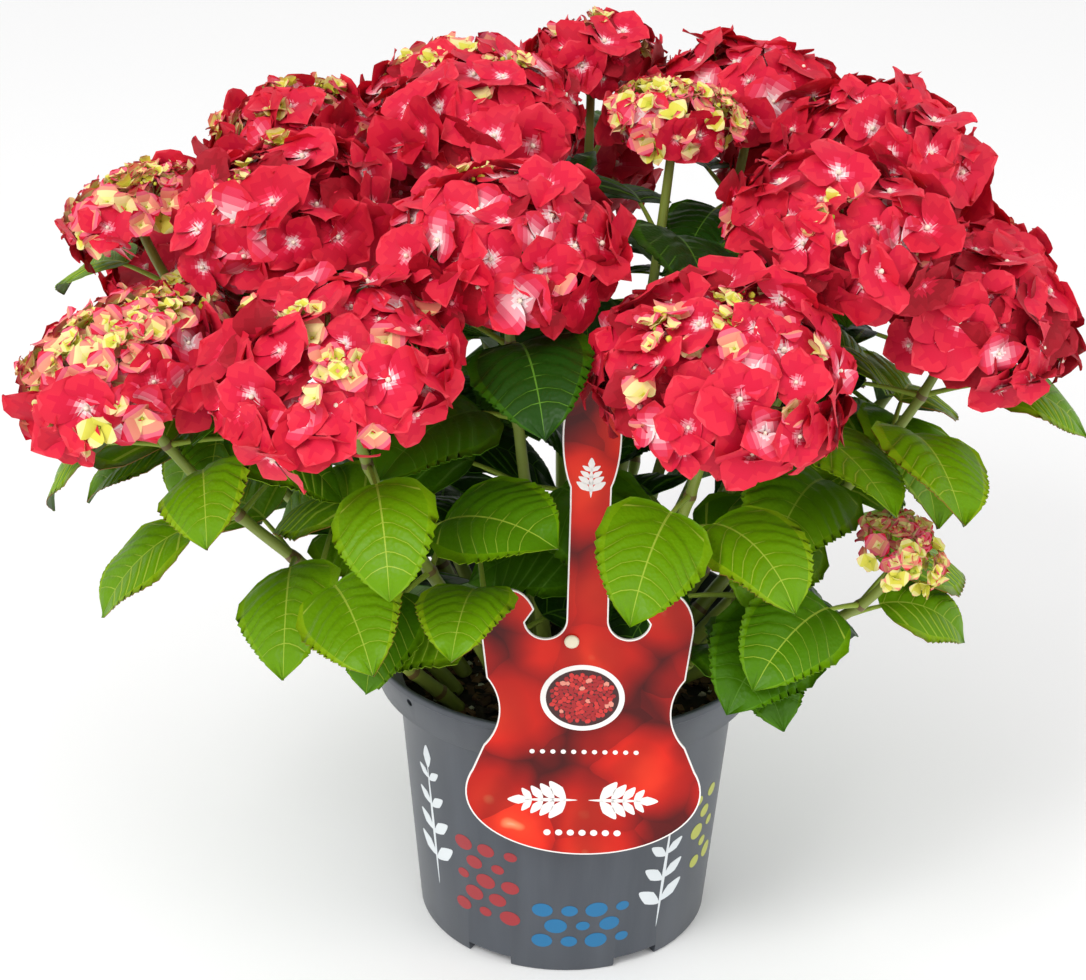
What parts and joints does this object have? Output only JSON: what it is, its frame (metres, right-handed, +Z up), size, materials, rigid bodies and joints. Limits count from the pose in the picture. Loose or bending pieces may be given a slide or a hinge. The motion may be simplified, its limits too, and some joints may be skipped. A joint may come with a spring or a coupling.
{
  "type": "potted mophead hydrangea shrub",
  "caption": "Compact flowering shrub of upright canes with domed red flower heads and broad toothed leaves, growing in a tapered plastic nursery pot with a hanging label.",
  "frame": {"origin": "middle of the pot's flat underside, on the surface it stands on", "axes": "+Z up along the pot's axis; the front with the hanging label faces -Y; +X is to the right seen from the front"},
  "size_m": [0.5866, 0.5136, 0.504],
  "materials": {
    "pot_plastic": "satin moulded plastic, slate grey",
    "potting_mix": "loose dark peat and bark mix",
    "label_card": "printed glossy plastic card",
    "stake_plastic": "cream moulded plastic",
    "cane_bark": "green stem skin with brown rings and pores",
    "leaves": "glossy puckered leaf",
    "flower_head": "satin crimson sepals over leaves"
  },
  "bodies": {
    "root": {"cane_01": "cane_bark", "cane_02": "cane_bark", "cane_03": "cane_bark", "cane_04": "cane_bark", "cane_05": "cane_bark", "cane_06": "cane_bark", "cane_07": "cane_bark", "cane_08": "cane_bark", "cane_09": "cane_bark", "cane_10": "cane_bark", "cane_11": "cane_bark", "cane_12": "cane_bark", "cane_13": "cane_bark", "cane_14": "cane_bark", "cane_15": "cane_bark", "cane_16": "cane_bark", "cane_17": "cane_bark", "cane_18": "cane_bark", "cane_19": "cane_bark", "cane_20": "cane_bark", "cane_21": "cane_bark", "cane_22": "cane_bark", "cane_low_1": "cane_bark", "cane_low_2": "cane_bark", "cane_low_3": "cane_bark", "cane_low_4": "cane_bark", "cane_low_5": "cane_bark", "cane_low_6": "cane_bark", "head_01": "flower_head", "head_02": "flower_head", "head_03": "flower_head", "head_04": "flower_head", "head_05": "flower_head", "head_06": "flower_head", "head_07": "flower_head", "head_08": "flower_head", "head_09": "flower_head", "head_10": "flower_head", "head_11": "flower_head", "head_12": "flower_head", "head_13": "flower_head", "head_14": "flower_head", "head_15": "flower_head", "head_16": "flower_head", "head_17": "flower_head", "head_18": "flower_head", "head_19": "flower_head", "head_20": "flower_head", "head_21": "flower_head", "head_22": "flower_head", "head_low_1": "leaves", "head_low_2": "leaves", "head_low_3": "leaves", "head_low_4": "leaves", "head_low_5": "leaves", "head_low_6": "leaves", "label": "label_card", "label_stake": "stake_plastic", "pot": "pot_plastic", "potting_mix": "potting_mix"}
  },
  "joints": []
}
